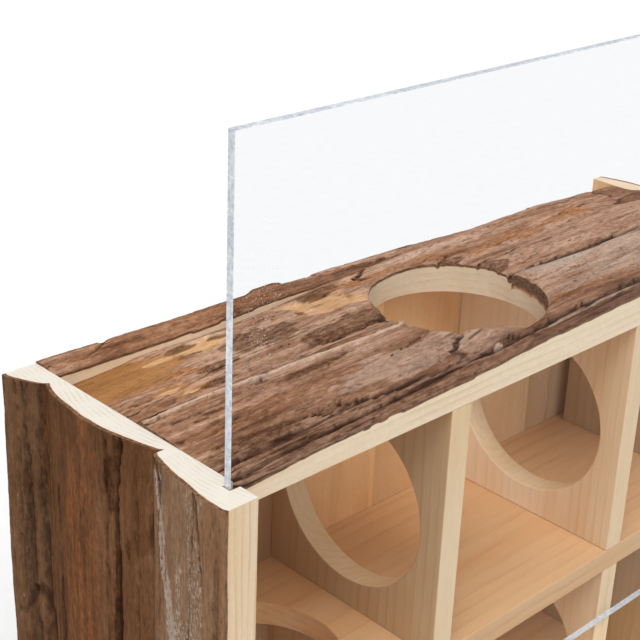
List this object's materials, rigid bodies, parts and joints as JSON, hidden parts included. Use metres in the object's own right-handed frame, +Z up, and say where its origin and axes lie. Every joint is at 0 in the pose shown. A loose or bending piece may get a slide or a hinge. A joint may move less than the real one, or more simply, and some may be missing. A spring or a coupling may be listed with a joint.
{
  "type": "hamster house",
  "caption": "Upright wooden chamber house for a hamster, bark-on walls, round passages between chambers and a clear front pane that lifts out of grooves.",
  "frame": {"origin": "middle of the footprint, on the ground", "axes": "+X to the right seen from the front, +Y to the back wall, +Z up"},
  "size_m": [0.3046, 0.1, 0.305],
  "materials": {
    "bark_wood": "matte",
    "roof_bark": "matte",
    "pine": "matte",
    "clear_pane": "gloss",
    "steel": "satin"
  },
  "bodies": {
    "case": {"left_front_slab": "bark_wood", "left_middle_slab": "bark_wood", "left_rear_slab": "bark_wood", "right_front_slab": "bark_wood", "right_middle_slab": "bark_wood", "right_rear_slab": "bark_wood", "roof_front_slab": "roof_bark", "roof_middle_slab": "roof_bark", "roof_rear_slab": "roof_bark", "floor_front_slab": "bark_wood", "floor_middle_slab": "bark_wood", "floor_rear_slab": "bark_wood", "back_slab_1": "bark_wood", "back_slab_2": "bark_wood", "back_slab_3": "bark_wood", "back_slab_4": "bark_wood", "back_slab_5": "bark_wood", "back_slab_6": "bark_wood", "shelf": "pine", "upper_left_divider": "pine", "upper_right_divider": "pine", "lower_left_divider": "pine", "lower_right_divider": "pine", "upper_end_board": "pine", "lower_end_board": "pine", "left_brads": "steel", "right_brads": "steel", "roof_brads": "steel", "floor_brads": "steel", "back_brads": "steel"},
    "pane": {"front_pane": "clear_pane"}
  },
  "joints": [
    {"name": "pane_lift", "type": "slide", "parent": "case", "child": "pane", "axis": [0, 0, 1], "range_m": [-0.0707, 0.13]}
  ]
}
